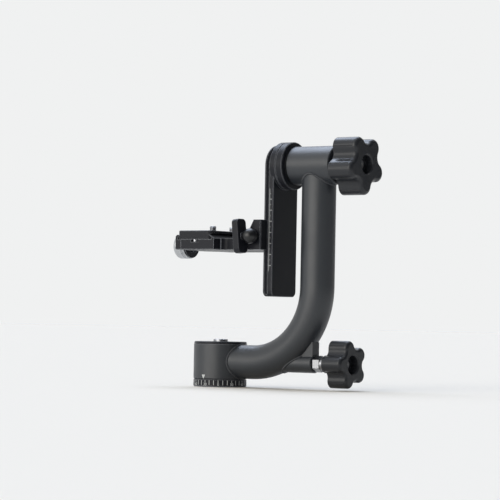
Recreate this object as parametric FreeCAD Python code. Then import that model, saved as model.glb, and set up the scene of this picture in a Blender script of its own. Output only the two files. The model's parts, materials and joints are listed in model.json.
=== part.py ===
"""Gimbal head for a long lens: bent tube arm on a pan base, with a swinging dovetail rail.

Frame: millimetres, +Z up. The origin is the middle of the bottom face, on the pan axis.
+X points from the pan axis along the lower run of the arm, and is also the tilt axis.
The lens looks along -Y. Every subpart is written as parts/NAME.step.
"""
import FreeCAD, Part
import math
import os

Vec = FreeCAD.Vector
AXIS_X = Vec(1, 0, 0)
AXIS_Y = Vec(0, 1, 0)
AXIS_Z = Vec(0, 0, 1)

# Fits and gaps shared by all groups
run_gap = 0.03          # radial clearance of a running shaft in its bush or thread
slide_gap = 0.05        # clearance of a sliding pin or a plate in its guide
free_gap = 0.3          # clearance of parts that must not touch
seam = 0.3              # open seam between turning outer parts

# Pan base
tripod_thread_r = 3.99  # wall of a 3/8-16 tapped hole
tripod_thread_len = 12.0
dial_r = 24.4
dial_top = 7.0
dial_lip = 0.8          # foot flange below the dial ring
dial_ring_in = 20.0
spindle_r = 12.0
journal_r = 8.0
journal_z = 30.0
spindle_top = 36.0
thrust_r = 19.0
thrust_top = 8.5

# Pan housing
housing_r = 24.5
housing_top = 39.0
bush_wall = 3.0
lower_bush_len = 9.5
cap_r = 24.2
cap_thick = 2.7
cap_round = 1.2
axle_bolt_r = 4.0       # M8
axle_head_r = 6.7
axle_head_h = 6.4
axle_washer_r = 10.5
axle_washer_h = 1.5
axle_bolt_len = 20.0
socket_r = 3.4          # corner radius of the hex key socket in the axle bolt

# Arm tube
arm_r = 15.5
arm_wall = 3.5
arm_z = 23.4            # height of the lower run
arm_x = 107.5           # distance of the upright
bend_r = 69.0
tilt_z = 202.0          # tilt axis height

# Pan lock
lock_tube_r = 8.3
lock_end_x = 107.0
rod_r = 4.0             # M8
rod_hole_gap = 0.6
insert_len = 14.0
pad_r = 5.0
pad_len = 6.0
nut_af = 13.0
nut_h = 6.5
web_thick = 10.5
pan_knob_r = 22.0
pan_knob_x = 128.0
pan_knob_len = 20.2
pan_knob_turn = 55.5    # angle of one lobe from +Z towards +Y
pan_hub_r = 8.0
pan_hub_len = 9.5

# Star knobs, as shares of the knob's radius
lobes_n = 5
lobe_share = 0.31       # radius of a lobe
valley_share = 0.70     # distance of a hollow from the axis
front_round_share = 0.13
back_round_share = 0.04
recess_r = 8.4
recess_depth = 8.0
rim_bevel = 1.1
screw_end_drop = 6.8    # the screw's end stands this far below the knob's face
groove_r = 0.5          # fine grooves along the lobes
groove_side = 55.0      # angle of a groove from the lobe's crest, about the lobe's own middle
groove_end = 0.5        # distance of a groove's ends from the rounded edges

# Tilt tube and spindle
tilt_tube_r = 17.5
tilt_tube_x0 = 81.7
tilt_tube_x1 = 128.5
end_bevel = 1.5
bearing_in_r = 6.0      # 12 x 24 x 6 ball bearing
bearing_out_r = 12.0
bearing_w = 6.0
bearing_ball_r = 1.5
bearing_balls = 12
bearing_ring = 2.0      # wall of each ring
left_bearing_x = 83.7
right_bearing_x = 106.0
tube_mid_r = 10.5
spindle_nut_w = 4.0
spindle_nut_r = 8.5
tilt_pad_room = 1.3     # free travel of the brake pad before the end cap
end_cap_drop = 0.4
shoulder_r = 8.0
stud_r = 5.0            # M10
tilt_pad_len = 2.4
flange_r = 21.7
flange_x1 = 80.4
tilt_knob_r = 27.3
tilt_knob_x = 134.0
tilt_knob_len = 25.4
tilt_knob_turn = 38.0
tilt_hub_r = 11.6

# Swing rail
rail_x0 = 60.4
rail_thick = 10.0
rail_half = 19.0
rail_bottom = 83.4
rail_corner = 5.0
lip = 1.5               # straight edge of a dovetail lip
vee = 2.0               # depth of the dovetail groove
head_x0 = 67.0          # round head of the rail, as wide as the flange beside it
head_stand = 3.0        # height of the head above the rail's face
disc_bevel = 0.6        # on the rims of the head and the flange
rail_screw_r = 2.5      # M5
rail_screw_ring = 12.5
rail_screws_n = 3
spindle_bolt_r = 3.0    # M6
m5_head_r = 4.25
m5_head_h = 4.7
m6_head_r = 5.0
m6_head_h = 5.6
head_gap = 0.3          # round a sunk screw head
head_drop = 0.8         # depth of a sunk screw head below its face

# Platform bracket and rail clamp
plat_z0 = 125.4
plat_arm_h = 10.3
wall_x0 = 51.0
wall_top = 152.6
wall_slant_z = 144.0
wall_slant_x = 55.6
bracket_half = 28.0
jaw_out_x = 63.5
clamp_screw_z = 137.4
clamp_screw_x = 56.0
clamp_screw_r = 2.5     # M5
guide_pin_r = 1.5
guide_pin_drop = 9.0    # distance of the guide pins from the screw
guide_pin_bite = 12.0
ball_r = 7.0
ball_stand = 6.0        # from the bracket's face to the middle of the hub
paddle_x0 = 42.2
paddle_thick = 6.4
paddle_len = 31.0
paddle_deep = 13.6
paddle_lean = 6.0
paddle_corner = 4.0

# Lens plate clamp
clamp_half_len = 43.0
clamp_x0 = -15.5
clamp_x1 = 22.1
clamp_z0 = 125.2
floor_z = 134.2
jaw_top = 138.6
jaw_slope_z = 3.3       # slope along the top of the fixed jaw
jaw_slope_x = 4.5
jaw_edge = 1.5          # bevel along the top of the moving jaw
nose_relief = 0.1
flare = 5.0             # concave fillet between bracket and clamp
jaw_end_x = -22.0
jaw_boss_x = -31.0
jaw_boss_half = 13.0
clamp_knob_x = -37.0
clamp_knob_r = 11.8
clamp_knob_len = 13.0
collar_len = 1.8
lens_screw_axis_z = 129.8
lens_clamp_screw_r = 3.0
bracket_screw_r = 2.5
bracket_screw_y = 18.0
bracket_screw_bite = 13.0
bracket_screw_seat = 9.0
clamp_pin_y = 28.0

# Lens plate
plate_half = 19.0
plate_half_len = 44.0
plate_thick = 8.2
plate_lip = 2.1         # straight edge below the plate's dovetail groove
plate_corner = 4.5
lens_screw_r = 3.17     # 1/4-20
lens_screw_out = 5.0
lens_screw_y = 15.0
slot_half_len = 30.0
slot_step = 3.9         # height of the step that the screw heads hold
lens_head_r = 5.0
stop_screw_in = 2.0     # stop screw, inwards from the end of the clamp
stop_screw_r = 1.5
stop_screw_bite = 5.5
stop_head_r = 2.2
stop_head_h = 2.0
stop_recess = 12.0      # length of the end recess that the stop screw runs in
recess_half = 3.8


def cyl(r, a, b, axis="z", u=0.0, v=0.0):
    """Cylinder from a to b along an axis; u and v are the other two coordinates in x, y, z order."""
    spots = {"x": (Vec(a, u, v), AXIS_X), "y": (Vec(u, a, v), AXIS_Y), "z": (Vec(u, v, a), AXIS_Z)}
    start, way = spots[axis]
    return Part.makeCylinder(r, b - a, start, way)


def tube(r_out, r_in, a, b, axis="z", u=0.0, v=0.0):
    return cyl(r_out, a, b, axis, u, v).cut(cyl(r_in, a, b, axis, u, v))


def block(x0, x1, y0, y1, z0, z1):
    return Part.makeBox(x1 - x0, y1 - y0, z1 - z0, Vec(x0, y0, z0))


def prism(points, way):
    """Flat outline through 3-D points, pushed along a vector."""
    loop = [Vec(*p) for p in points]
    return Part.Face(Part.makePolygon(loop + [loop[0]])).extrude(way)


def hexagon(across, a, b, u, v, axis="x"):
    corner = across / math.sqrt(3)
    ring = [(corner * math.cos(math.radians(60 * k + 30)), corner * math.sin(math.radians(60 * k + 30)))
            for k in range(6)]
    if axis == "x":
        return prism([(a, u + p, v + q) for p, q in ring], Vec(b - a, 0, 0))
    return prism([(u + p, v + q, a) for p, q in ring], Vec(0, 0, b - a))


def soften(shape, size, chosen, round_it=True):
    """Fillets or chamfers the edges for which chosen(edge) is true."""
    edges = [e for e in shape.Edges if chosen(e)]
    return shape.makeFillet(size, edges) if round_it else shape.makeChamfer(size, edges)


def mid(edge):
    return edge.valueAt(0.5 * (edge.FirstParameter + edge.LastParameter))


def is_circle_at(edge, r, axis, level, tol=1e-3):
    """True for a full circular edge of radius r at a level along an axis."""
    curve = edge.Curve
    if not isinstance(curve, Part.Circle):
        return False
    place = {"x": curve.Center.x, "y": curve.Center.y, "z": curve.Center.z}[axis]
    return abs(curve.Radius - r) < tol and abs(place - level) < tol


def group(shapes):
    return Part.makeCompound(shapes)


# Places worked out from the sizes above
bend_centre_x = arm_x - bend_r
bend_centre_z = arm_z + bend_r
spindle_clear_r = spindle_r + 0.6
lower_bush_r = spindle_r + bush_wall
upper_bush_r = journal_r + bush_wall
housing_z0 = dial_top + seam
lower_bush_z1 = thrust_top + lower_bush_len
cap_z1 = housing_top + cap_thick
pan_pad_x0 = spindle_r + free_gap
pan_pad_x1 = pan_pad_x0 + pad_len
spindle_end_x = right_bearing_x + bearing_w + spindle_nut_w + 0.5
tilt_pad_x0 = spindle_end_x + free_gap
tilt_pad_x1 = tilt_pad_x0 + tilt_pad_len
rail_x1 = rail_x0 + rail_thick
head_x1 = rail_x1 + head_stand
end_cap_x0 = tilt_pad_x1 + tilt_pad_room
ball_y = -bracket_half - ball_stand
stop_screw_y = clamp_half_len - stop_screw_in
plate_z0 = floor_z + 2 * slide_gap


def base_plate():
    """Bottom disc with the spindle, tapped for the tripod below and for the axle bolt above."""
    body = cyl(dial_ring_in, 0, dial_top).fuse(cyl(dial_r - 0.4, 0, dial_lip))
    body = body.fuse(cyl(spindle_r, dial_top, journal_z)).fuse(cyl(journal_r, journal_z, spindle_top))
    body = body.cut(cyl(tripod_thread_r, 0, tripod_thread_len))
    body = body.cut(cyl(axle_bolt_r, spindle_top + axle_washer_h - axle_bolt_len, spindle_top))
    return body.removeSplitter()


def dial_ring():
    ring = tube(dial_r, dial_ring_in, dial_lip, dial_top)
    return soften(ring, 0.4, lambda e: is_circle_at(e, dial_r, "z", dial_top), False)


def thrust_washer():
    return tube(thrust_r, spindle_r + slide_gap, dial_top, thrust_top)


def pan_bushes():
    lower = tube(lower_bush_r, spindle_r + run_gap, thrust_top, lower_bush_z1)
    upper = tube(upper_bush_r, journal_r + run_gap, journal_z + free_gap, spindle_top - 0.1)
    return group([lower, upper])


def pan_housing():
    """Turned body that carries the arm and runs on the spindle."""
    body = cyl(housing_r, housing_z0, housing_top)
    body = soften(body, 0.5, lambda e: is_circle_at(e, housing_r, "z", housing_z0), False)
    body = body.cut(cyl(thrust_r, housing_z0, thrust_top))
    body = body.cut(cyl(lower_bush_r, thrust_top, lower_bush_z1))
    body = body.cut(cyl(spindle_clear_r, lower_bush_z1, journal_z + free_gap))
    body = body.cut(cyl(upper_bush_r, journal_z + free_gap, spindle_top - 0.1))
    body = body.cut(cyl(upper_bush_r + 0.2, spindle_top - 0.1, housing_top))
    return body.cut(cyl(pad_r + slide_gap, spindle_r, housing_r + 1, "x", 0, arm_z))


def housing_cap():
    cap = tube(cap_r, axle_head_r + free_gap, housing_top, cap_z1)
    return soften(cap, cap_round, lambda e: is_circle_at(e, cap_r, "z", cap_z1))


def axle_washer():
    return tube(axle_washer_r, axle_bolt_r, spindle_top, spindle_top + axle_washer_h)


def axle_bolt():
    """Socket head bolt that holds the housing down on the spindle."""
    z0 = spindle_top + axle_washer_h
    head = cyl(axle_head_r, z0, z0 + axle_head_h)
    head = soften(head, 0.8, lambda e: is_circle_at(e, axle_head_r, "z", z0 + axle_head_h))
    head = head.cut(hexagon(socket_r * math.sqrt(3), z0 + axle_head_h / 2, z0 + axle_head_h + 1, 0, 0, "z"))
    return head.fuse(cyl(axle_bolt_r, z0 - axle_bolt_len + 1, z0)).removeSplitter()


def bent_rod(r):
    """Round bar along the arm's centre line, from the pan axis to the tilt axis."""
    low = cyl(r, 0, bend_centre_x, "x", 0, arm_z)
    high = cyl(r, bend_centre_z, tilt_z, "z", arm_x, 0)
    ring = Part.Face(Part.Wire(Part.makeCircle(r, Vec(bend_centre_x, 0, arm_z), AXIS_X)))
    bend = ring.revolve(Vec(bend_centre_x, 0, bend_centre_z), Vec(0, -1, 0), 90)
    return low.fuse(bend).fuse(high).removeSplitter()


def arm_tube():
    """Bent tube, coped to the housing at one end and to the cross tube at the other."""
    body = bent_rod(arm_r).cut(bent_rod(arm_r - arm_wall))
    body = body.cut(cyl(housing_r, 0, 2 * housing_top))
    body = body.cut(cyl(tilt_tube_r, 0, 2 * arm_x, "x", 0, tilt_z))
    return body.cut(cyl(rod_r + rod_hole_gap, bend_centre_x, arm_x, "x", 0, arm_z))


def lock_tube():
    body = tube(lock_tube_r, pad_r + 1, bend_centre_x + bend_r / 2, lock_end_x, "x", 0, arm_z)
    body = body.cut(bent_rod(arm_r))
    return soften(body, 0.8, lambda e: is_circle_at(e, lock_tube_r, "x", lock_end_x), False)


def lock_insert():
    """Threaded insert in the end of the lock tube."""
    body = tube(pad_r + 1, rod_r + run_gap, lock_end_x - insert_len, lock_end_x - 0.4, "x", 0, arm_z)
    return body.cut(bent_rod(arm_r))


def gusset_web():
    """Web plate that ties the lock tube to the outside of the bend."""
    top_z = bend_centre_z - math.sqrt((bend_r + arm_r) ** 2 - (lock_end_x - bend_centre_x) ** 2)
    plate = block(bend_centre_x + bend_r / 2, lock_end_x, -web_thick / 2, web_thick / 2, arm_z, top_z)
    return plate.cut(bent_rod(arm_r)).cut(cyl(lock_tube_r, 0, 2 * lock_end_x, "x", 0, arm_z))


def pan_brake_pad():
    pad = cyl(pad_r, pan_pad_x0, pan_pad_x1, "x", 0, arm_z)
    return soften(pad, 0.5, lambda e: is_circle_at(e, pad_r, "x", pan_pad_x0), False)


def pan_lock_rod():
    """Long rod from the brake pad, through the arm, to the knob. Its end shows in the knob's recess."""
    rod = cyl(rod_r, pan_pad_x1, pan_knob_x + pan_knob_len - screw_end_drop, "x", 0, arm_z)
    return soften(rod, 0.6, lambda e: e.Closed and mid(e).x > pan_knob_x, False)


def pan_lock_nut():
    """Hex nut with a washer face and a short neck, locked on the rod against the knob's hub."""
    x0 = lock_end_x + 1.2
    hub_x = pan_knob_x - pan_hub_len
    nut = hexagon(nut_af, x0, x0 + nut_h, 0, arm_z)
    nut = nut.common(Part.makeSphere(0.93 * nut_af, Vec(x0 + nut_h / 2, 0, arm_z))).removeSplitter()
    neck = cyl(nut_af / 2 - 0.4, x0 + nut_h, hub_x, "x", 0, arm_z)
    return nut.fuse(neck).cut(cyl(rod_r, lock_end_x, pan_knob_x, "x", 0, arm_z)).removeSplitter()


def star_prism(r, x0, x1, z, turn):
    """Round lobes and the hollows between them, each arc running smoothly into the next."""
    step = 360 / lobes_n
    lobe_r = lobe_share * r
    ring = r - lobe_r
    valley = valley_share * r
    c = math.cos(math.radians(step / 2))
    spare = ring ** 2 + valley ** 2 - 2 * ring * valley * c - lobe_r ** 2
    hollow_r = spare / (2 * (lobe_r + ring * c - valley))

    def spot(distance, angle):
        a = math.radians(angle)
        return Vec(x0, distance * math.sin(a), z + distance * math.cos(a))

    def joint(lobe, hollow):
        start = spot(ring, lobe)
        return start + (spot(valley + hollow_r, hollow) - start) * (lobe_r / (lobe_r + hollow_r))

    arcs = []
    for k in range(lobes_n):
        lobe = turn + step * k
        hollow = lobe + step / 2
        arcs.append(Part.Arc(joint(lobe, lobe - step / 2), spot(r, lobe), joint(lobe, hollow)).toShape())
        arcs.append(Part.Arc(joint(lobe, hollow), spot(valley, hollow), joint(lobe + step, hollow)).toShape())
    return Part.Face(Part.Wire(arcs)).extrude(Vec(x1 - x0, 0, 0))


def star_knob(r, x0, length, hub, bore_r, z, turn):
    """Lobed grip with a hub behind, a recess in the outer face and two fine grooves along each lobe.

    hub is its radius and its length.
    """
    x1 = x0 + length
    front = front_round_share * r
    back = back_round_share * r
    body = star_prism(r, x0, x1, z, turn)
    body = soften(body, front, lambda e: abs(mid(e).x - x1) < 1e-3)
    body = soften(body, back, lambda e: abs(mid(e).x - x0) < 1e-3)
    lobe_r = lobe_share * r
    for k in range(lobes_n):
        lobe = math.radians(turn + 360 / lobes_n * k)
        for side in (-1, 1):
            a = lobe + side * math.radians(groove_side)
            y = (r - lobe_r) * math.sin(lobe) + lobe_r * math.sin(a)
            up = (r - lobe_r) * math.cos(lobe) + lobe_r * math.cos(a)
            body = body.cut(cyl(groove_r, x0 + back + groove_end, x1 - front - groove_end, "x", y, z + up))
    hub_r, hub_len = hub
    body = body.fuse(cyl(hub_r, x0 - hub_len, x0 + 1, "x", 0, z)).removeSplitter()
    body = body.cut(cyl(recess_r, x1 - recess_depth, x1 + 1, "x", 0, z))
    body = soften(body, rim_bevel, lambda e: is_circle_at(e, recess_r, "x", x1), False)
    return body.cut(cyl(bore_r, x0 - hub_len - 1, x1, "x", 0, z))


def pan_knob():
    hub = (pan_hub_r, pan_hub_len)
    return star_knob(pan_knob_r, pan_knob_x, pan_knob_len, hub, rod_r, arm_z, pan_knob_turn)


# Tilt tube and spindle

def tilt_tube():
    """Cross tube with a bearing seat at each end of its narrow middle."""
    body = cyl(tilt_tube_r, tilt_tube_x0, tilt_tube_x1, "x", 0, tilt_z)
    body = soften(body, end_bevel, lambda e: is_circle_at(e, tilt_tube_r, "x", tilt_tube_x0), False)
    body = soften(body, end_bevel / 2, lambda e: is_circle_at(e, tilt_tube_r, "x", tilt_tube_x1), False)
    body = body.cut(cyl(bearing_out_r, tilt_tube_x0, left_bearing_x + bearing_w, "x", 0, tilt_z))
    body = body.cut(cyl(tube_mid_r, left_bearing_x + bearing_w, right_bearing_x, "x", 0, tilt_z))
    return body.cut(cyl(bearing_out_r, right_bearing_x, tilt_tube_x1, "x", 0, tilt_z))


def bearing_seats():
    return (left_bearing_x, right_bearing_x)


def ball_track(x):
    """Ring-shaped groove that the balls run in, a little larger than the balls."""
    pitch = (bearing_in_r + bearing_out_r) / 2
    return Part.makeTorus(pitch, bearing_ball_r + slide_gap, Vec(x + bearing_w / 2, 0, tilt_z), AXIS_X)


def bearing_outer_rings():
    return group([tube(bearing_out_r, bearing_out_r - bearing_ring, x, x + bearing_w, "x", 0, tilt_z)
                  .cut(ball_track(x)) for x in bearing_seats()])


def bearing_inner_rings():
    return group([tube(bearing_in_r + bearing_ring, bearing_in_r, x, x + bearing_w, "x", 0, tilt_z)
                  .cut(ball_track(x)) for x in bearing_seats()])


def bearing_ball_sets():
    pitch = (bearing_in_r + bearing_out_r) / 2
    balls = []
    for x in bearing_seats():
        for k in range(bearing_balls):
            a = 2 * math.pi * k / bearing_balls
            spot = Vec(x + bearing_w / 2, pitch * math.cos(a), tilt_z + pitch * math.sin(a))
            balls.append(Part.makeSphere(bearing_ball_r, spot))
    return group(balls)


def tilt_spindle():
    thick = cyl(shoulder_r, head_x1, left_bearing_x, "x", 0, tilt_z)
    body = thick.fuse(cyl(bearing_in_r, left_bearing_x, spindle_end_x, "x", 0, tilt_z))
    return body.cut(cyl(spindle_bolt_r, head_x1, left_bearing_x + 4, "x", 0, tilt_z)).removeSplitter()


def spindle_nut():
    x0 = right_bearing_x + bearing_w
    return tube(spindle_nut_r, bearing_in_r, x0, x0 + spindle_nut_w, "x", 0, tilt_z)


def tilt_washer():
    return tube(tilt_tube_r - 1.2, shoulder_r, flange_x1, tilt_tube_x0 - free_gap, "x", 0, tilt_z)


def end_cap():
    """Threaded plug in the outer end of the cross tube; the lock screw runs in it."""
    return tube(bearing_out_r, stud_r + run_gap, end_cap_x0, tilt_tube_x1 - end_cap_drop, "x", 0, tilt_z)


def tilt_brake_pad():
    return cyl(bearing_in_r - 0.2, tilt_pad_x0, tilt_pad_x1, "x", 0, tilt_z)


def tilt_lock_screw():
    screw = cyl(stud_r, tilt_pad_x1, tilt_knob_x + tilt_knob_len - screw_end_drop, "x", 0, tilt_z)
    return soften(screw, 0.8, lambda e: e.Closed and mid(e).x > tilt_knob_x, False)


def tilt_knob():
    hub = (tilt_hub_r, tilt_knob_x - tilt_tube_x1 - 2 * free_gap)
    return star_knob(tilt_knob_r, tilt_knob_x, tilt_knob_len, hub, stud_r, tilt_z, tilt_knob_turn)


def rail_screw_spots():
    spots = []
    for k in range(rail_screws_n):
        a = math.radians(90 + 360 * k / rail_screws_n)
        spots.append((rail_screw_ring * math.cos(a), tilt_z + rail_screw_ring * math.sin(a)))
    return spots


def tilt_flange():
    disc = tube(flange_r, shoulder_r, head_x1, flange_x1, "x", 0, tilt_z)
    for y, z in rail_screw_spots():
        disc = disc.cut(cyl(rail_screw_r, head_x1, flange_x1 - 1.8, "x", y, z))
    return soften(disc, disc_bevel, lambda e: is_circle_at(e, flange_r, "x", head_x1)
                  or is_circle_at(e, flange_r, "x", flange_x1), False)


def groove_profile(side):
    """Triangle of the dovetail groove in the rail's edge, in the plane of the tilt axis."""
    x = rail_x0 + lip
    edge = side * rail_half
    return [(x, edge, 0), (x + vee, side * (rail_half - vee), 0), (x + 2 * vee, edge, 0)]


def swing_rail():
    """Dovetail rail with a round head on the tilt axis."""
    body = block(rail_x0, rail_x1, -rail_half, rail_half, rail_bottom, tilt_z)
    body = soften(body, rail_corner,
                  lambda e: abs(mid(e).z - rail_bottom) < 1e-3 and abs(mid(e).y) > rail_half - 1e-3)
    body = body.fuse(cyl(rail_half, rail_x0, rail_x1, "x", 0, tilt_z)).removeSplitter()
    body = soften(body, 0.5, lambda e: min(abs(mid(e).x - rail_x1), abs(mid(e).x - rail_x0)) < 1e-3, False)
    for side in (-1, 1):
        outward = 1.001
        points = [(x, y * outward if abs(abs(y) - rail_half) < 1e-6 else y, rail_bottom - 1)
                  for x, y, z in groove_profile(side)]
        body = body.cut(prism(points, Vec(0, 0, tilt_z - rail_bottom + 1)))
    loop = [Vec(x, y * 1.001 if abs(y - rail_half) < 1e-6 else y, tilt_z) for x, y, z in groove_profile(1)]
    face = Part.Face(Part.makePolygon(loop + [loop[0]]))
    body = body.cut(face.revolve(Vec(0, 0, tilt_z), AXIS_X, 180))
    head = cyl(flange_r, head_x0, head_x1, "x", 0, tilt_z)
    head = soften(head, disc_bevel, lambda e: is_circle_at(e, flange_r, "x", head_x0)
                  or is_circle_at(e, flange_r, "x", head_x1), False)
    body = body.fuse(head).removeSplitter()
    body = body.cut(cyl(m6_head_r + head_gap, rail_x0, rail_x0 + head_drop + m6_head_h, "x", 0, tilt_z))
    body = body.cut(cyl(spindle_bolt_r, rail_x0, head_x1, "x", 0, tilt_z))
    for y, z in rail_screw_spots():
        body = body.cut(cyl(m5_head_r + head_gap, rail_x0, rail_x0 + head_drop + m5_head_h, "x", y, z))
        body = body.cut(cyl(rail_screw_r, rail_x0, head_x1, "x", y, z))
    return body


def cap_screw(r, head_r, head_h, x_head, x_end, y, z):
    """Socket cap screw along +X: the head starts at x_head, the tip is at x_end."""
    head = cyl(head_r, x_head, x_head + head_h, "x", y, z)
    head = soften(head, 0.4, lambda e: is_circle_at(e, head_r, "x", x_head), False)
    head = head.cut(hexagon(1.7 * r, x_head - 1, x_head + 0.55 * head_h, y, z))
    return head.fuse(cyl(r, x_head + head_h, x_end, "x", y, z)).removeSplitter()


def spindle_bolt():
    x_end = left_bearing_x + bearing_w / 2
    return cap_screw(spindle_bolt_r, m6_head_r, m6_head_h, rail_x0 + head_drop, x_end, 0, tilt_z)


def rail_screws():
    return group([cap_screw(rail_screw_r, m5_head_r, m5_head_h, rail_x0 + head_drop, flange_x1 - 2.0, y, z)
                  for y, z in rail_screw_spots()])


# Platform bracket and rail clamp

def jaw_nose(side, gap):
    """Outline (x, y) of a hook that reaches into the rail's dovetail groove from one side."""
    edge = rail_half + gap
    slope_x = rail_x0 + lip
    tip_y = edge - (jaw_out_x - slope_x)
    outer = bracket_half
    x0 = rail_x0 - slide_gap
    return [(x0, side * edge), (slope_x, side * edge), (jaw_out_x, side * tip_y),
            (jaw_out_x, side * (outer - 0.8)), (jaw_out_x - 0.8, side * outer), (x0, side * outer)]


def clamp_pin_levels():
    return (clamp_screw_z - guide_pin_drop, clamp_screw_z + guide_pin_drop)


def platform_bracket():
    """L-shaped carriage: level arm, upright wall against the rail, and the fixed rail jaw."""
    x1 = rail_x0 - slide_gap
    arm_top = plat_z0 + plat_arm_h
    side_view = [(clamp_x1, plat_z0), (x1, plat_z0), (x1, wall_top), (wall_slant_x, wall_top),
                 (wall_x0, wall_slant_z), (wall_x0, arm_top), (clamp_x1, arm_top)]
    body = prism([(x, -bracket_half, z) for x, z in side_view], Vec(0, 2 * bracket_half, 0))
    body = soften(body, 3.0, lambda e: abs(mid(e).x - wall_x0) < 1e-3 and abs(mid(e).z - arm_top) < 1e-3)
    for side in (-1, 1):
        ends = sorted((side * bracket_half, side * (bracket_half + flare)))
        corner = block(clamp_x1, clamp_x1 + flare, *ends, plat_z0, arm_top)
        hollow = cyl(flare, plat_z0, arm_top, "z", clamp_x1 + flare, side * (bracket_half + flare))
        body = body.fuse(corner.cut(hollow))
    body = body.removeSplitter()
    far_y = rail_half - free_gap
    body = body.cut(block(wall_x0 - free_gap, x1 + 1, far_y - free_gap, bracket_half + 1,
                          plat_z0 - 1, wall_top + 1))
    jaw = prism([(x, y, plat_z0) for x, y in jaw_nose(-1, slide_gap)], Vec(0, 0, wall_top - plat_z0))
    body = body.fuse(jaw).removeSplitter()
    body = body.cut(cyl(clamp_screw_r + slide_gap, -bracket_half - 1, rail_half, "y",
                        clamp_screw_x, clamp_screw_z))
    for z in clamp_pin_levels():
        body = body.cut(cyl(guide_pin_r, rail_half - guide_pin_bite, rail_half, "y", clamp_screw_x, z))
    for side in (-1, 1):
        body = body.cut(cyl(bracket_screw_r, clamp_x1, clamp_x1 + bracket_screw_bite + 1, "x",
                            side * bracket_screw_y, lens_screw_axis_z))
    return body


def rail_guide_pins():
    return group([cyl(guide_pin_r, rail_half - guide_pin_bite, bracket_half - 1.5, "y", clamp_screw_x, z)
                  for z in clamp_pin_levels()])


def rail_jaw():
    """Moving jaw on the far edge of the rail; the clamp screw pulls it in."""
    back = block(wall_x0, rail_x0 - slide_gap, rail_half - free_gap, bracket_half, plat_z0, wall_top)
    nose = prism([(x, y, plat_z0) for x, y in jaw_nose(1, free_gap)], Vec(0, 0, wall_top - plat_z0))
    body = back.fuse(nose).removeSplitter()
    body = soften(body, 2.5, lambda e: abs(mid(e).x - wall_x0) < 1e-3
                  and min(abs(mid(e).z - plat_z0), abs(mid(e).z - wall_top)) < 1e-3, False)
    body = body.cut(cyl(clamp_screw_r + run_gap, 0, bracket_half + 1, "y", clamp_screw_x, clamp_screw_z))
    for z in clamp_pin_levels():
        body = body.cut(cyl(guide_pin_r + slide_gap, 0, bracket_half - 1, "y", clamp_screw_x, z))
    return body


def rail_clamp_screw():
    return cyl(clamp_screw_r, ball_y + 2, bracket_half - 0.5, "y", clamp_screw_x, clamp_screw_z)


def lever_ball():
    """Round hub of the rail clamp lever, flat where it faces the bracket."""
    ball = Part.makeSphere(ball_r, Vec(clamp_screw_x, ball_y, clamp_screw_z))
    ball = ball.cut(block(clamp_screw_x - 2 * ball_r, clamp_screw_x + 2 * ball_r, -bracket_half - free_gap, 0,
                          clamp_screw_z - 2 * ball_r, clamp_screw_z + 2 * ball_r))
    return ball.cut(rail_clamp_screw()).cut(lever_arm())


def lever_arm():
    """Short round arm from the middle of the hub into the thumb paddle."""
    return cyl(paddle_thick / 2, paddle_x0 + paddle_thick / 2, clamp_screw_x - clamp_screw_r - 0.5, "x",
               ball_y - 1, clamp_screw_z)


def lever_paddle():
    x1 = paddle_x0 + paddle_thick
    y1 = -bracket_half - free_gap
    z0 = clamp_screw_z - paddle_len / 2
    plate = block(paddle_x0, x1, y1 - paddle_deep, y1, z0, z0 + paddle_len)
    plate = soften(plate, paddle_corner, lambda e: abs(mid(e).x - (paddle_x0 + x1) / 2) < 1e-3)
    plate = soften(plate, 0.6, lambda e: min(abs(mid(e).x - paddle_x0), abs(mid(e).x - x1)) < 1e-3)
    plate.rotate(Vec((paddle_x0 + x1) / 2, 0, clamp_screw_z), AXIS_Y, -paddle_lean)
    return plate.fuse(lever_arm()).removeSplitter()


# Lens plate clamp

def clamp_base():
    """Clamp body below the lens plate, with the fixed jaw on the rail side."""
    lip_z = plate_z0 + plate_lip
    nose_z = lip_z + plate_half - (plate_half - vee + 2 * slide_gap)
    outline = [(clamp_x0, clamp_z0), (clamp_x1, clamp_z0),
               (clamp_x1, jaw_top - jaw_slope_z), (clamp_x1 - jaw_slope_x, jaw_top),
               (plate_half - vee + 4 * slide_gap, nose_z), (plate_half + slide_gap, lip_z - slide_gap),
               (plate_half + slide_gap, floor_z), (clamp_x0, floor_z)]
    body = prism([(x, -clamp_half_len, z) for x, z in outline], Vec(0, 2 * clamp_half_len, 0))
    body = soften(body, 0.5, lambda e: abs(mid(e).z - clamp_z0) < 1e-3, False)
    for side in (-1, 1):
        ends = sorted((side * (clamp_half_len + 1), side * (clamp_half_len - stop_recess)))
        body = body.cut(block(-recess_half, recess_half, *ends, floor_z - 2.4, floor_z + 1))
    body = body.cut(cyl(lens_clamp_screw_r + run_gap, clamp_x0 - 1, 6, "x", 0, lens_screw_axis_z))
    for side in (-1, 1):
        y = side * bracket_screw_y
        body = body.cut(cyl(m5_head_r + head_gap, clamp_x0 - 1, clamp_x1 - bracket_screw_seat, "x", y,
                            lens_screw_axis_z))
        body = body.cut(cyl(bracket_screw_r, 0, clamp_x1 + 1, "x", y, lens_screw_axis_z))
        body = body.cut(cyl(guide_pin_r, clamp_x0 - 1, clamp_x0 + guide_pin_bite, "x", side * clamp_pin_y,
                            lens_screw_axis_z))
    return body


def bracket_screws():
    x_head = clamp_x1 - bracket_screw_seat - m5_head_h
    return group([cap_screw(bracket_screw_r, m5_head_r, m5_head_h, x_head, clamp_x1 + bracket_screw_bite,
                            side * bracket_screw_y, lens_screw_axis_z) for side in (-1, 1)])


def clamp_guide_pins():
    return group([cyl(guide_pin_r, jaw_end_x + 1, clamp_x0 + guide_pin_bite, "x", side * clamp_pin_y,
                      lens_screw_axis_z) for side in (-1, 1)])


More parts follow.
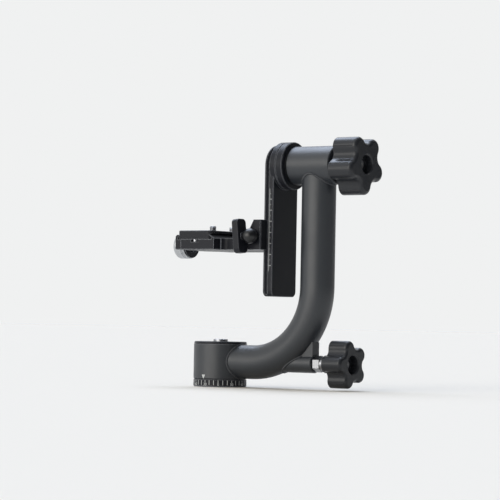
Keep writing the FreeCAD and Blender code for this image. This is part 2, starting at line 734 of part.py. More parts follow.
def clamp_jaw():
    """Moving jaw: dovetail nose above, wedge-shaped boss for the screw in the middle."""
    x1 = clamp_x0 - free_gap
    edge = -plate_half - free_gap
    lip_z = plate_z0 + plate_lip
    under = plate_z0 - free_gap
    outline = [(x1, clamp_z0), (x1, under), (edge, under), (edge, lip_z),
               (edge + vee - nose_relief, lip_z + vee - nose_relief), (edge + vee - 0.5, jaw_top),
               (jaw_end_x + jaw_edge, jaw_top), (jaw_end_x, jaw_top - jaw_edge), (jaw_end_x, clamp_z0)]
    y1 = clamp_half_len - 0.5
    body = prism([(x, -y1, z) for x, z in outline], Vec(0, 2 * y1, 0))
    wide, narrow = 2 * jaw_boss_half, jaw_boss_half
    plan = [(jaw_end_x + 1, -wide), (jaw_end_x, -wide), (jaw_boss_x, -narrow),
            (jaw_boss_x, narrow), (jaw_end_x, wide), (jaw_end_x + 1, wide)]
    boss = prism([(x, y, clamp_z0) for x, y in plan], Vec(0, 0, under - clamp_z0))
    body = body.fuse(boss).removeSplitter()
    body = soften(body, 0.5, lambda e: abs(mid(e).z - clamp_z0) < 1e-3, False)
    body = body.cut(cyl(lens_clamp_screw_r + slide_gap, jaw_boss_x - 1, 0, "x", 0, lens_screw_axis_z))
    for side in (-1, 1):
        pin = cyl(guide_pin_r + slide_gap, jaw_end_x, 0, "x", side * clamp_pin_y, lens_screw_axis_z)
        body = body.cut(pin)
    return body


def lens_clamp_screw():
    return cyl(lens_clamp_screw_r, clamp_knob_x - clamp_knob_len + 1, 4, "x", 0, lens_screw_axis_z)


def clamp_knob():
    x0 = clamp_knob_x - clamp_knob_len
    knob = cyl(clamp_knob_r, x0, clamp_knob_x, "x", 0, lens_screw_axis_z)
    knob = soften(knob, 4.0, lambda e: is_circle_at(e, clamp_knob_r, "x", x0))
    knob = soften(knob, 1.0, lambda e: is_circle_at(e, clamp_knob_r, "x", clamp_knob_x))
    return knob.cut(lens_clamp_screw())


def knob_collar():
    """Dark collar between the clamp knob and the jaw's boss."""
    bore = lens_clamp_screw_r
    neck_x = clamp_knob_x + collar_len
    disc = tube(clamp_knob_r - 0.8, bore, clamp_knob_x, neck_x, "x", 0, lens_screw_axis_z)
    neck = tube(2 * bore, bore, neck_x, jaw_boss_x, "x", 0, lens_screw_axis_z)
    return disc.fuse(neck).removeSplitter()


# Lens plate

def lens_plate():
    """Dovetail plate with a stepped slot for the lens screws."""
    z0 = plate_z0
    lip_z = z0 + plate_lip
    z1 = z0 + plate_thick
    right = [(plate_half, z0), (plate_half, lip_z), (plate_half - vee, lip_z + vee),
             (plate_half, lip_z + 2 * vee), (plate_half, z1)]
    outline = right + [(-x, z) for x, z in reversed(right)]
    body = prism([(x, -plate_half_len, z) for x, z in outline], Vec(0, 2 * plate_half_len, 0))
    plan = block(-plate_half, plate_half, -plate_half_len, plate_half_len, z0, z1)
    plan = soften(plan, plate_corner, lambda e: abs(mid(e).z - (z0 + z1) / 2) < 1e-3)
    plan = soften(plan, 0.5, lambda e: abs(mid(e).z - z1) < 1e-3, False)
    body = body.common(plan)
    body = body.cut(slot(lens_head_r + head_gap, slot_half_len + lens_head_r, z0, z0 + slot_step))
    body = body.cut(slot(lens_screw_r + head_gap, slot_half_len, z0 + slot_step, z1))
    for side in (-1, 1):
        body = body.cut(cyl(stop_screw_r, z0, z0 + stop_screw_bite + 0.2, "z", 0, side * stop_screw_y))
    return body


def slot(r, half_len, z0, z1):
    """Round-ended slot along y, centred on the lens plate."""
    run = half_len - r
    straight = block(-r, r, -run, run, z0, z1)
    return straight.fuse(cyl(r, z0, z1, "z", 0, -run)).fuse(cyl(r, z0, z1, "z", 0, run)).removeSplitter()


def lens_screw(y):
    """Screw into the lens foot: its head slides below the step of the slot."""
    z0 = floor_z + 0.4
    shoulder_z = plate_z0 + slot_step - 0.2
    z1 = plate_z0 + plate_thick + lens_screw_out
    head = cyl(lens_head_r, z0, shoulder_z, "z", 0, y)
    head = head.cut(hexagon(1.1 * lens_head_r, z0, z0 + 2, 0, y, "z"))
    body = cyl(lens_screw_r, shoulder_z, z1, "z", 0, y)
    body = soften(body, 0.6, lambda e: is_circle_at(e, lens_screw_r, "z", z1), False)
    return head.fuse(body).removeSplitter()


def stop_screws():
    screws = []
    for side in (-1, 1):
        y = side * stop_screw_y
        head = cyl(stop_head_r, plate_z0 - stop_head_h, plate_z0, "z", 0, y)
        shank = cyl(stop_screw_r, plate_z0, plate_z0 + stop_screw_bite, "z", 0, y)
        screws.append(head.fuse(shank).removeSplitter())
    return group(screws)


PIECES = {
    "base_plate": base_plate, "dial_ring": dial_ring, "axle_washer": axle_washer, "axle_bolt": axle_bolt,
    "thrust_washer": thrust_washer, "pan_bushes": pan_bushes, "pan_housing": pan_housing,
    "housing_cap": housing_cap, "arm_tube": arm_tube, "lock_tube": lock_tube, "lock_insert": lock_insert,
    "gusset_web": gusset_web, "pan_brake_pad": pan_brake_pad, "pan_lock_rod": pan_lock_rod,
    "pan_lock_nut": pan_lock_nut, "pan_knob": pan_knob,
    "tilt_tube": tilt_tube, "bearing_outer_rings": bearing_outer_rings,
    "bearing_inner_rings": bearing_inner_rings, "bearing_balls": bearing_ball_sets,
    "tilt_spindle": tilt_spindle, "spindle_nut": spindle_nut, "tilt_washer": tilt_washer, "end_cap": end_cap,
    "tilt_brake_pad": tilt_brake_pad, "tilt_lock_screw": tilt_lock_screw, "tilt_knob": tilt_knob,
    "tilt_flange": tilt_flange, "swing_rail": swing_rail, "spindle_bolt": spindle_bolt,
    "rail_screws": rail_screws,
    "platform_bracket": platform_bracket, "rail_guide_pins": rail_guide_pins, "rail_jaw": rail_jaw,
    "rail_clamp_screw": rail_clamp_screw, "lever_ball": lever_ball, "lever_paddle": lever_paddle,
    "clamp_base": clamp_base, "bracket_screws": bracket_screws, "clamp_guide_pins": clamp_guide_pins,
    "clamp_jaw": clamp_jaw, "lens_clamp_screw": lens_clamp_screw, "clamp_knob": clamp_knob,
    "knob_collar": knob_collar,
    "lens_plate": lens_plate, "lens_screw_front": lambda: lens_screw(-lens_screw_y),
    "lens_screw_rear": lambda: lens_screw(lens_screw_y), "stop_screws": stop_screws,
}


def main():
    os.makedirs("parts", exist_ok=True)
    for name, make in PIECES.items():
        shape = make()
        if not shape.isValid():
            print("not valid:", name)
        print("%-20s solids %2d  volume %9.1f" % (name, len(shape.Solids), shape.Volume))
        shape.exportStep("parts/%s.step" % name)


main()
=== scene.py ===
import json
import math

import bmesh
import bpy
from mathutils import Matrix, Vector


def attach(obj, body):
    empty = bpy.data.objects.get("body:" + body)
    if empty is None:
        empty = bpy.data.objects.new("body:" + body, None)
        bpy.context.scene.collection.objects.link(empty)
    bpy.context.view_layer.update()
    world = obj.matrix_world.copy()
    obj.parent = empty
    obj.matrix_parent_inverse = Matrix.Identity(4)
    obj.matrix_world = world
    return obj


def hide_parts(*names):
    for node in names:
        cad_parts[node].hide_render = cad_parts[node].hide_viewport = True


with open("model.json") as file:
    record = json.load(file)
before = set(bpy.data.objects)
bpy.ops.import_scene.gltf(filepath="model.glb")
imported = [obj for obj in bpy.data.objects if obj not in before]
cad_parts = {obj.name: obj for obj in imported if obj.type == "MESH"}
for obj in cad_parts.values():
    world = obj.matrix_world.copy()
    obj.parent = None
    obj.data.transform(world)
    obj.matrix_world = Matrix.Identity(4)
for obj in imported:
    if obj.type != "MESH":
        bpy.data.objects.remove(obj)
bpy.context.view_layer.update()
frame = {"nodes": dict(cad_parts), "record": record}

MM = 0.001

# Heights and radii of the CAD model that the added details are built on, in metres
ARM_Z = 23.4 * MM
ARM_X = 107.5 * MM
ARM_R = 15.5 * MM
BEND_R = 69.0 * MM
TILT_Z = 202.0 * MM
HOUSING_R = 24.5 * MM
CROSS_TUBE_R = 17.5 * MM
LOCK_TUBE_R = 8.3 * MM
RAIL_HALF = 19.0 * MM


def linear(hex_code):
    """sRGB hex colour as the linear RGBA that shaders take."""
    parts = [int(hex_code[i:i + 2], 16) / 255 for i in (1, 3, 5)]
    return tuple(c / 12.92 if c <= 0.04045 else ((c + 0.055) / 1.055) ** 2.4 for c in parts) + (1.0,)


def add(tree, kind, links=(), **settings):
    """Adds one node: plain attributes first, then sockets by name, then the links into sockets."""
    node = tree.nodes.new(kind)
    for key in [k for k in settings if hasattr(node, k)]:
        setattr(node, key, settings.pop(key))
    sockets = {s.name.lower(): s for s in reversed(node.inputs) if s.enabled}
    for key, value in settings.items():
        sockets[key.replace("_", " ").lower()].default_value = value
    for name, source in links:
        tree.links.new(source, node.inputs[name] if isinstance(name, int) else sockets[name.lower()])
    return node


def new_material(name):
    mat = bpy.data.materials.new(name)
    mat.use_nodes = True
    mat.node_tree.nodes.clear()
    return mat, mat.node_tree


def close_material(tree, shader):
    add(tree, "ShaderNodeOutputMaterial", [("Surface", shader.outputs[0])])


# Width of the rubbed edges and of the painted edge highlights, drawn a little wide so that they show
EDGE_WEAR_AND_HIGHLIGHT = 0.7 * MM

# Depth of the grain in a coating, in mm
COAT_GRAIN_DEPTH = 0.05


def edge_mask(tree, radius):
    """1 along sharp edges and 0 on open faces: where a finish rubs thin, and where a painted edge highlight
    goes.
    """
    round_normal = add(tree, "ShaderNodeBevel", Radius=radius, samples=4)
    flat = add(tree, "ShaderNodeNewGeometry")
    same = add(tree, "ShaderNodeVectorMath", [(0, round_normal.outputs[0]), (1, flat.outputs["Normal"])],
               operation="DOT_PRODUCT")
    return add(tree, "ShaderNodeMapRange", [("Value", same.outputs["Value"])],
               From_Min=0.995, From_Max=0.86, To_Min=0.0, To_Max=1.0)


def grain(tree, size_mm, strength, depth_mm, detail=2.0):
    """Noise of a given grain size on object coordinates, and the fine bump that it makes."""
    place = add(tree, "ShaderNodeTexCoord")
    noise = add(tree, "ShaderNodeTexNoise", [("Vector", place.outputs["Object"])],
                Scale=1.0 / (size_mm * MM), Detail=detail, Roughness=0.55)
    return noise, add(tree, "ShaderNodeBump", [("Height", noise.outputs["Fac"])],
                      Strength=strength, Distance=depth_mm * MM)


def mix_colour(tree, fac, a, b):
    node = add(tree, "ShaderNodeMix", [("Factor", fac)], data_type="RGBA", A=a, B=b)
    return node.outputs[2]


def spread(tree, source, low, high):
    """Maps a 0 to 1 noise onto a range of roughness."""
    return add(tree, "ShaderNodeMapRange", [("Value", source)], From_Min=0.3, From_Max=0.7,
               To_Min=low, To_Max=high).outputs["Result"]


def coated_metal(name, colour, worn_and_highlight_colour, rough, grain_mm, grain_strength, wear_and_highlight=0.35, gloss=0.3, uneven=0.04):
    """Black coating over metal: fine grain, uneven sheen and paler edges, which are rubbed wear on most
    finishes and a painted edge highlight on the anodising.
    """
    mat, tree = new_material(name)
    bump = grain(tree, grain_mm, grain_strength, COAT_GRAIN_DEPTH)[1]
    place = add(tree, "ShaderNodeTexCoord")
    cloud = add(tree, "ShaderNodeTexNoise", [("Vector", place.outputs["Object"])], Scale=60.0, Detail=3.0)
    edges = edge_mask(tree, EDGE_WEAR_AND_HIGHLIGHT)
    # Pale edge band: rubbed wear on most finishes, a painted edge highlight on the black anodising.
    wear_and_highlight_mask = add(tree, "ShaderNodeMath", [(0, edges.outputs["Result"])], operation="MULTIPLY")
    wear_and_highlight_mask.inputs[1].default_value = wear_and_highlight
    shade = mix_colour(tree, wear_and_highlight_mask.outputs[0], linear(colour), linear(worn_and_highlight_colour))
    sheen = spread(tree, cloud.outputs["Fac"], rough - uneven, rough + uneven)
    shader = add(tree, "ShaderNodeBsdfPrincipled",
                 [("Base Color", shade), ("Roughness", sheen), ("Normal", bump.outputs["Normal"])],
                 Specular_IOR_Level=gloss)
    close_material(tree, shader)
    return mat


def powder_coat():
    # Polyester powder on welded tube: satin black with a fine sandy texture, about 0.3 mm in the real coat
    # and drawn at 0.9 mm so that it shows.
    return coated_metal("powder_coat", "#2C2F33", "#4A4B4E", 0.42, 0.9, 0.35, gloss=0.65)


def black_anodising():
    # Anodised aluminium plate and bar: even satin black, with a painted highlight in pale grey along every
    # edge where a chamfer would catch the light.
    return coated_metal("black_anodised", "#25262A", "#B0B1B4", 0.38, 0.25, 0.08, wear_and_highlight=0.8, gloss=0.18,
                        uneven=0.015)


def moulded_nylon():
    # Injection-moulded glass-filled nylon: near black, soft broad highlights, a faint mottle from the mould.
    return coated_metal("moulded_black", "#2D2E31", "#3F4043", 0.32, 0.6, 0.05, wear_and_highlight=0.2, gloss=0.35)


def phenolic_ball():
    # Compression-moulded phenolic hub, rubbed satin by thumbs: dark grey with one broad soft highlight.
    return coated_metal("gloss_black", "#141517", "#2E2F32", 0.34, 0.8, 0.06, wear_and_highlight=0.2, gloss=0.5)


def turned_metal(name, colour, dark, rough, axis, line_mm, strength, metallic=1.0):
    """Lathe-turned metal: fine rings along an axis, and a little colour variation between cuts."""
    mat, tree = new_material(name)
    place = add(tree, "ShaderNodeTexCoord")
    stretch = [0.02, 0.02, 0.02]
    stretch["xyz".index(axis)] = 1.0
    mapping = add(tree, "ShaderNodeMapping", [("Vector", place.outputs["Object"])], Scale=stretch)
    lines = add(tree, "ShaderNodeTexNoise", [("Vector", mapping.outputs["Vector"])],
                Scale=1.0 / (line_mm * MM), Detail=3.0, Roughness=0.6)
    bump = add(tree, "ShaderNodeBump", [("Height", lines.outputs["Fac"])],
               Strength=strength, Distance=0.03 * MM)
    shade = mix_colour(tree, lines.outputs["Fac"], linear(colour), linear(dark))
    polish = spread(tree, lines.outputs["Fac"], rough - 0.04, rough + 0.06)
    shader = add(tree, "ShaderNodeBsdfPrincipled",
                 [("Base Color", shade), ("Roughness", polish), ("Normal", bump.outputs["Normal"])],
                 Metallic=metallic)
    close_material(tree, shader)
    return mat


def bright_steel():
    # Bright zinc-nickel plate on screws and nuts: clean highlights, faint machining lines.
    return turned_metal("bright_steel", "#B6B7BA", "#98999C", 0.30, "x", 0.35, 0.10)


def turned_steel():
    # Bare turned steel of pins, spindles and inserts.
    return turned_metal("turned_steel", "#9C9DA0", "#7B7C7F", 0.32, "x", 0.3, 0.12)


def sintered_bronze():
    # Oil-filled sintered bronze of the pan bushes.
    return turned_metal("bronze", "#A97842", "#7E5730", 0.42, "z", 0.4, 0.1)


def pale_aluminium():
    # Clear anodised aluminium of the clamp knob: pale satin grey with turning rings.
    return turned_metal("pale_aluminium", "#C6C8CA", "#AEB0B2", 0.30, "x", 0.4, 0.10, metallic=0.85)


def dark_nylon():
    # Machined nylon washers and pads: dull dark grey.
    return coated_metal("dark_nylon", "#1E1F20", "#2C2D2E", 0.55, 0.4, 0.15, wear_and_highlight=0.1)


def marking_white():
    # Screen-printed or engraved and filled white: matt, with slightly broken edges from the print.
    mat, tree = new_material("marking_white")
    noise, bump = grain(tree, 0.12, 0.2, 0.02)
    shade = mix_colour(tree, noise.outputs["Fac"], linear("#D8D8D4"), linear("#BFC0BD"))
    shader = add(tree, "ShaderNodeBsdfPrincipled",
                 [("Base Color", shade), ("Normal", bump.outputs["Normal"])], Roughness=0.6)
    close_material(tree, shader)
    return mat


MATERIALS = {
    "powder_coat": powder_coat(), "black_anodised": black_anodising(), "moulded_black": moulded_nylon(),
    "gloss_black": phenolic_ball(), "bright_steel": bright_steel(), "turned_steel": turned_steel(),
    "bronze": sintered_bronze(), "dark_nylon": dark_nylon(), "pale_aluminium": pale_aluminium(),
}
WHITE = marking_white()


def dress_nodes():
    """Gives every CAD node the finish of its material slot."""
    slots = {row["node"]: row["material_slot"] for row in frame["record"]["subparts"]}
    for name, obj in frame["nodes"].items():
        mat = MATERIALS[slots[name]]
        if not obj.material_slots:
            obj.data.materials.append(mat)
        for slot in obj.material_slots:
            slot.material = mat


dress_nodes()


def take(obj, mesh, name):
    """Gives an object a finished plain mesh and its name."""
    obj.data = mesh
    obj.name = name
    mesh.name = name
    return obj


def grow(name, tree, seed_mesh, values, body):
    """Runs a Geometry Nodes tree once on a seed mesh, and keeps the plain mesh, riding on a body."""
    obj = bpy.data.objects.new(name, seed_mesh)
    bpy.context.scene.collection.objects.link(obj)
    modifier = obj.modifiers.new("grow", "NODES")
    modifier.node_group = tree
    for item in tree.interface.items_tree:
        if item.item_type == "SOCKET" and item.in_out == "INPUT" and item.name in values:
            modifier[item.identifier] = values[item.name]
    seen = bpy.context.evaluated_depsgraph_get()
    mesh = bpy.data.meshes.new_from_object(obj.evaluated_get(seen))
    obj.modifiers.clear()
    take(obj, mesh, name)
    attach(obj, body)
    return obj


def new_tree(name, inputs):
    """Geometry Nodes tree with a geometry input, float inputs by name, and a geometry output."""
    tree = bpy.data.node_groups.new(name, "GeometryNodeTree")
    tree.interface.new_socket("Geometry", in_out="INPUT", socket_type="NodeSocketGeometry")
    for label, kind, value in inputs:
        socket = tree.interface.new_socket(label, in_out="INPUT", socket_type="NodeSocket" + kind)
        socket.default_value = value
    tree.interface.new_socket("Geometry", in_out="OUTPUT", socket_type="NodeSocketGeometry")
    return tree, add(tree, "NodeGroupInput")


def end_tree(tree, geometry, material):
    """Makes instances real, gives them their material and closes the tree."""
    real = add(tree, "GeometryNodeRealizeInstances", [("Geometry", geometry)])
    painted = add(tree, "GeometryNodeSetMaterial", [("Geometry", real.outputs[0])], Material=material)
    add(tree, "NodeGroupOutput", [("Geometry", painted.outputs[0])])
    return tree


def points_mesh(name, points, closed=False):
    """Bare points joined in a row, as a seed for a tree."""
    edges = [(i, i + 1) for i in range(len(points) - 1)]
    if closed:
        edges.append((len(points) - 1, 0))
    mesh = bpy.data.meshes.new(name)
    mesh.from_pydata(points, edges, [])
    return mesh


def mark_tree():
    """Printed marks: a thin bar on each seed point, turned to face away from the dial's axis."""
    inputs = [("Long", "Float", 4.3 * MM), ("Wide", "Float", 0.55 * MM), ("Proud", "Float", 0.12 * MM),
              ("Facing", "Vector", (1.0, 0.0, 0.0)), ("Round dial", "Float", 1.0)]
    tree, given = new_tree("printed_marks", inputs)
    size = add(tree, "ShaderNodeCombineXYZ", [("X", given.outputs["Proud"]), ("Y", given.outputs["Wide"]),
                                              ("Z", given.outputs["Long"])])
    bar = add(tree, "GeometryNodeMeshCube", [("Size", size.outputs[0])])
    spot = add(tree, "GeometryNodeInputPosition")
    flat = add(tree, "ShaderNodeVectorMath", [(0, spot.outputs[0])], operation="MULTIPLY")
    flat.inputs[1].default_value = (1.0, 1.0, 0.0)
    way = add(tree, "ShaderNodeMix",
              [("Factor", given.outputs["Round dial"]), ("A", given.outputs["Facing"]),
               ("B", flat.outputs[0])], data_type="VECTOR")
    turn = add(tree, "FunctionNodeAlignRotationToVector", [("Vector", way.outputs[1])],
               axis="X", pivot_axis="Z")
    dots = add(tree, "GeometryNodeMeshToPoints", [("Mesh", given.outputs["Geometry"])])
    bars = add(tree, "GeometryNodeInstanceOnPoints",
               [("Points", dots.outputs[0]), ("Instance", bar.outputs["Mesh"]),
                ("Rotation", turn.outputs[0])])
    return end_tree(tree, bars.outputs[0], WHITE)


# Printed dial on the pan base: turns in degrees, levels and lengths in mm
DIAL_R = 24.4 * MM
DIAL_TURN = 3.0
DIAL_ZERO = -60.0
LONG_MARK_LEVEL = 3.95
SHORT_MARK_LEVEL = 5.0
SHORT_MARK = 2.2
FIGURE_STEP = 30
FIGURE_LEVEL = 2.35
FIGURE_TALL = 2.6
FIGURE_THICK = 0.24

# Height of a figure as a share of its font size
FIGURE_SHARE = 0.73

# White pointer on the housing: turn in degrees, the rest in mm
POINTER_TURN = -91.6
POINTER_LOW = 7.7
POINTER_TALL = 3.5
POINTER_TIP_HALF = 0.25
POINTER_WIDENS = 1.65
POINTER_ROWS = 6
POINTER_THICK = 0.10
POINTER_SUNK = 0.02


def on_dial(angle, level, radius=DIAL_R):
    """Spot on a round wall, from an angle in degrees, a level in mm and a radius in metres."""
    a = math.radians(angle)
    return (radius * math.cos(a), radius * math.sin(a), level * MM)


def dial_marks(tree):
    """A mark every 10 degrees, shorter where a figure stands under it."""
    long_spots = [on_dial(DIAL_TURN + a, LONG_MARK_LEVEL) for a in range(0, 360, 10) if a % FIGURE_STEP]
    short_spots = [on_dial(DIAL_TURN + a, SHORT_MARK_LEVEL) for a in range(0, 360, FIGURE_STEP)]
    grow("dial_marks", tree, points_mesh("dial_marks", long_spots), {}, "root")
    grow("dial_marks_short", tree, points_mesh("dial_marks_short", short_spots),
         {"Long": SHORT_MARK * MM}, "root")


def text_mesh(name, words, height, thick):
    """Extruded plain figures, centred, lying in the XY plane, as a mesh."""
    font = bpy.data.curves.new(name, "FONT")
    font.body = words
    font.size = height / FIGURE_SHARE
    font.extrude = thick / 2
    font.align_x = "CENTER"
    font.align_y = "CENTER"
    obj = bpy.data.objects.new(name, font)
    bpy.context.scene.collection.objects.link(obj)
    seen = bpy.context.evaluated_depsgraph_get()
    mesh = bpy.data.meshes.new_from_object(obj.evaluated_get(seen))
    bpy.data.objects.remove(obj)
    bpy.data.curves.remove(font)
    return mesh


def dial_numbers():
    """Degrees under every third mark, counted both ways from zero and wrapped round the dial."""
    whole = bmesh.new()
    for step in range(-5, 7):
        mesh = text_mesh("figure", str(abs(FIGURE_STEP * step)), FIGURE_TALL * MM, FIGURE_THICK * MM)
        middle = math.radians(DIAL_TURN + FIGURE_STEP * step + DIAL_ZERO)
        start = len(whole.verts)
        whole.from_mesh(mesh)
        whole.verts.ensure_lookup_table()
        for vert in whole.verts[start:]:
            around = middle + vert.co.x / DIAL_R
            out = DIAL_R + vert.co.z
            vert.co = (out * math.cos(around), out * math.sin(around), FIGURE_LEVEL * MM + vert.co.y)
        bpy.data.meshes.remove(mesh)
    return finish_mesh(whole, "dial_numbers", WHITE, "root")


def finish_mesh(built, name, material, body):
    """Turns a bmesh into a finished piece that rides on a body."""
    mesh = bpy.data.meshes.new(name)
    built.to_mesh(mesh)
    built.free()
    mesh.materials.append(material)
    obj = bpy.data.objects.new(name, mesh)
    bpy.context.scene.collection.objects.link(obj)
    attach(obj, body)
    return obj


def pointer():
    """White triangle on the housing, pointing down at the dial."""
    built = bmesh.new()
    for row in range(POINTER_ROWS + 1):
        level = POINTER_LOW + POINTER_TALL * row / POINTER_ROWS
        half = POINTER_TIP_HALF + POINTER_WIDENS * row / POINTER_ROWS
        for side in (-1, -0.33, 0.33, 1):
            angle = POINTER_TURN + math.degrees(side * half * MM / HOUSING_R)
            for out in (0.0, POINTER_THICK):
                built.verts.new(on_dial(angle, level, HOUSING_R + (out - POINTER_SUNK) * MM))
    built.verts.ensure_lookup_table()
    hull = bmesh.ops.convex_hull(built, input=built.verts)
    bmesh.ops.delete(built, geom=list(set(hull["geom_unused"] + hull["geom_interior"])), context="VERTS")
    return finish_mesh(built, "pan_pointer", WHITE, "yoke")


def rail_scale(tree):
    """Millimetre scale along the rail's front edge, between the dovetail groove and the far corner."""
    line_x = 66.2
    first = 111.3
    # Name, width and height of a mark, and the level of each, in mm
    rows = (("rail_scale", 2.9, 0.45, [first + 10 * k for k in range(7)]),
            ("rail_scale_half", 1.9, 0.3, [first + 5 + 10 * k for k in range(7)]),
            ("rail_scale_fine", 1.1, 0.2, [first - 4 + k for k in range(74) if (k - 4) % 5]),
            ("rail_scale_line", 0.25, 75.0, [143.5]))
    for name, wide, tall, levels in rows:
        spots = [((line_x + wide / 2) * MM, -RAIL_HALF, level * MM) for level in levels]
        grow(name, tree, points_mesh(name, spots),
             {"Facing": (0.0, -1.0, 0.0), "Round dial": 0.0, "Long": tall * MM, "Wide": wide * MM}, "swing")


def bead_tree():
    """Weld bead: overlapping rounded ripples along a seed path."""
    tree, given = new_tree("weld_bead", [("Ripple", "Float", 0.9 * MM), ("Radius", "Float", 1.1 * MM)])
    path = add(tree, "GeometryNodeMeshToCurve", [("Mesh", given.outputs["Geometry"])])
    even = add(tree, "GeometryNodeResampleCurve",
               [("Curve", path.outputs[0]), ("Length", given.outputs["Ripple"])], mode="LENGTH")
    blob = add(tree, "GeometryNodeMeshIcoSphere", [("Radius", given.outputs["Radius"])], Subdivisions=2)
    along = add(tree, "GeometryNodeInputTangent")
    turn = add(tree, "FunctionNodeAlignRotationToVector", [("Vector", along.outputs[0])], axis="X")
    ripples = add(tree, "GeometryNodeInstanceOnPoints",
                  [("Points", even.outputs[0]), ("Instance", blob.outputs["Mesh"]),
                   ("Rotation", turn.outputs[0])], Scale=(0.8, 1.0, 1.0))
    shape = add(tree, "GeometryNodeSetShadeSmooth", [("Geometry", ripples.outputs[0])])
    return end_tree(tree, shape.outputs[0], MATERIALS["powder_coat"])


def weld_beads():
    """Beads round the arm at the housing and the cross tube, and round the lock tube at the bend."""
    tree = bead_tree()
    turns = [math.radians(3 * k) for k in range(121)]
    at_housing = []
    at_cross_tube = []
    at_lock_tube = []
    for t in turns:
        y, z = ARM_R * math.sin(t), ARM_Z + ARM_R * math.cos(t)
        at_housing.append((math.sqrt(HOUSING_R ** 2 - y ** 2), y, z))
        x, y = ARM_X + ARM_R * math.cos(t), ARM_R * math.sin(t)
        at_cross_tube.append((x, y, TILT_Z - math.sqrt(CROSS_TUBE_R ** 2 - y ** 2)))
        y, z = LOCK_TUBE_R * math.sin(t), ARM_Z + LOCK_TUBE_R * math.cos(t)
        far = BEND_R + math.sqrt(ARM_R ** 2 - y ** 2)
        centre_x, centre_z = ARM_X - BEND_R, ARM_Z + BEND_R
        at_lock_tube.append((centre_x + math.sqrt(far ** 2 - (z - centre_z) ** 2), y, z))
    for name, points in (("weld_housing", at_housing), ("weld_cross_tube", at_cross_tube),
                         ("weld_lock_tube", at_lock_tube)):
        grow(name, tree, points_mesh(name, points[:-1], closed=True), {}, "yoke")


def turned_shape(rows, around, centre, axis):
    """Closed shape from a lathe: each row is a radius, or a radius by angle, at a level along the axis."""
    built = bmesh.new()
    rings = []
    for radius, level in rows:
        ring = []
        for k in range(around):
            a = 2 * math.pi * k / around
            r = radius(a) if callable(radius) else radius
            across = (r * math.cos(a) * MM, r * math.sin(a) * MM)
            spot = (level * MM, *across) if axis == "x" else (*across, level * MM)
            ring.append(built.verts.new(Vector(spot) + Vector(centre) * MM))
        rings.append(ring)
    for low, high in zip(rings, rings[1:]):
        for k in range(around):
            j = (k + 1) % around
            built.faces.new((low[k], low[j], high[j], high[k]))
    built.faces.new(rings[0])
    built.faces.new(rings[-1])
    bmesh.ops.recalc_face_normals(built, faces=built.faces)
    return built


# Rows of points in one turn of a thread
ROWS_A_TURN = 8


def thread_rows(crest, depth, pitch, start, end):
    """Rows of a screw thread that runs out into a bevelled end."""
    steps = round(ROWS_A_TURN * (end - start) / pitch)
    rows = []
    for i in range(steps + 1):
        level = start + (end - start) * i / steps

        def radius(a, level=level):
            wave = abs(2 * (((level - start) / pitch - a / (2 * math.pi)) % 1.0) - 1)
            return crest - max(depth * wave, depth - (end - level))
        rows.append((radius, level))
    return rows


def hex_socket(half_across):
    """Radius of a hexagonal socket by angle."""
    sixth = math.pi / 3
    return lambda a: half_across / math.cos((a % sixth) - sixth / 2)


# Lens screws, in mm: a socket head below the plate and a quarter-inch thread, 20 turns an inch, above it
SCREW_Y = 15.0
SCREW_LOW = 134.6
SCREW_SHOULDER = 138.0
SCREW_TOP = 147.5
SCREW_HEAD_R = 5.0
SCREW_HEAD_BEVEL = 0.3
SCREW_SOCKET_HALF = 2.75
SCREW_SOCKET_DEPTH = 2.0
SCREW_NECK = 1.5
THREAD_R = 3.17
THREAD_DEPTH = 0.62
THREAD_PITCH = 1.27
THREAD_GAP = 0.1


def lens_screws():
    """The two lens screws, with their sockets and threads."""
    socket = hex_socket(SCREW_SOCKET_HALF)
    bevel_r = SCREW_HEAD_R - SCREW_HEAD_BEVEL
    head = [(socket, SCREW_LOW + SCREW_SOCKET_DEPTH), (socket, SCREW_LOW), (bevel_r, SCREW_LOW),
            (SCREW_HEAD_R, SCREW_LOW + SCREW_HEAD_BEVEL), (SCREW_HEAD_R, SCREW_SHOULDER - SCREW_HEAD_BEVEL),
            (bevel_r, SCREW_SHOULDER), (THREAD_R, SCREW_SHOULDER), (THREAD_R, SCREW_SHOULDER + SCREW_NECK)]
    thread_low = SCREW_SHOULDER + SCREW_NECK + THREAD_GAP
    rows = head + thread_rows(THREAD_R, THREAD_DEPTH, THREAD_PITCH, thread_low, SCREW_TOP)
    for name, y in (("front", -SCREW_Y), ("rear", SCREW_Y)):
        built = turned_shape(rows, 48, (0.0, y, 0.0), "z")
        piece = finish_mesh(built, "threaded_lens_screw_" + name, MATERIALS["bright_steel"], name + "_screw")
        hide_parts("lens_screw_" + name)


# Clamp knob, in mm along and from its own axis
KNOB_Z = 129.8
KNOB_OUTER = -50.0
KNOB_INNER = -37.0
KNOB_RIM_R = 11.8
KNOB_BEND = 3.6
KNOB_CENTRE_R = 1.0
KNOB_DISH_R = 7.0
KNOB_DISH_DEPTH = 1.4
KNOB_BACK_R = 2.0
KNOB_GROOVES = (-40.4, -39.0)
KNOB_GROOVE_HALF = 0.35
KNOB_GROOVE_FLOOR_HALF = 0.2
KNOB_GROOVE_DEPTH = 0.4


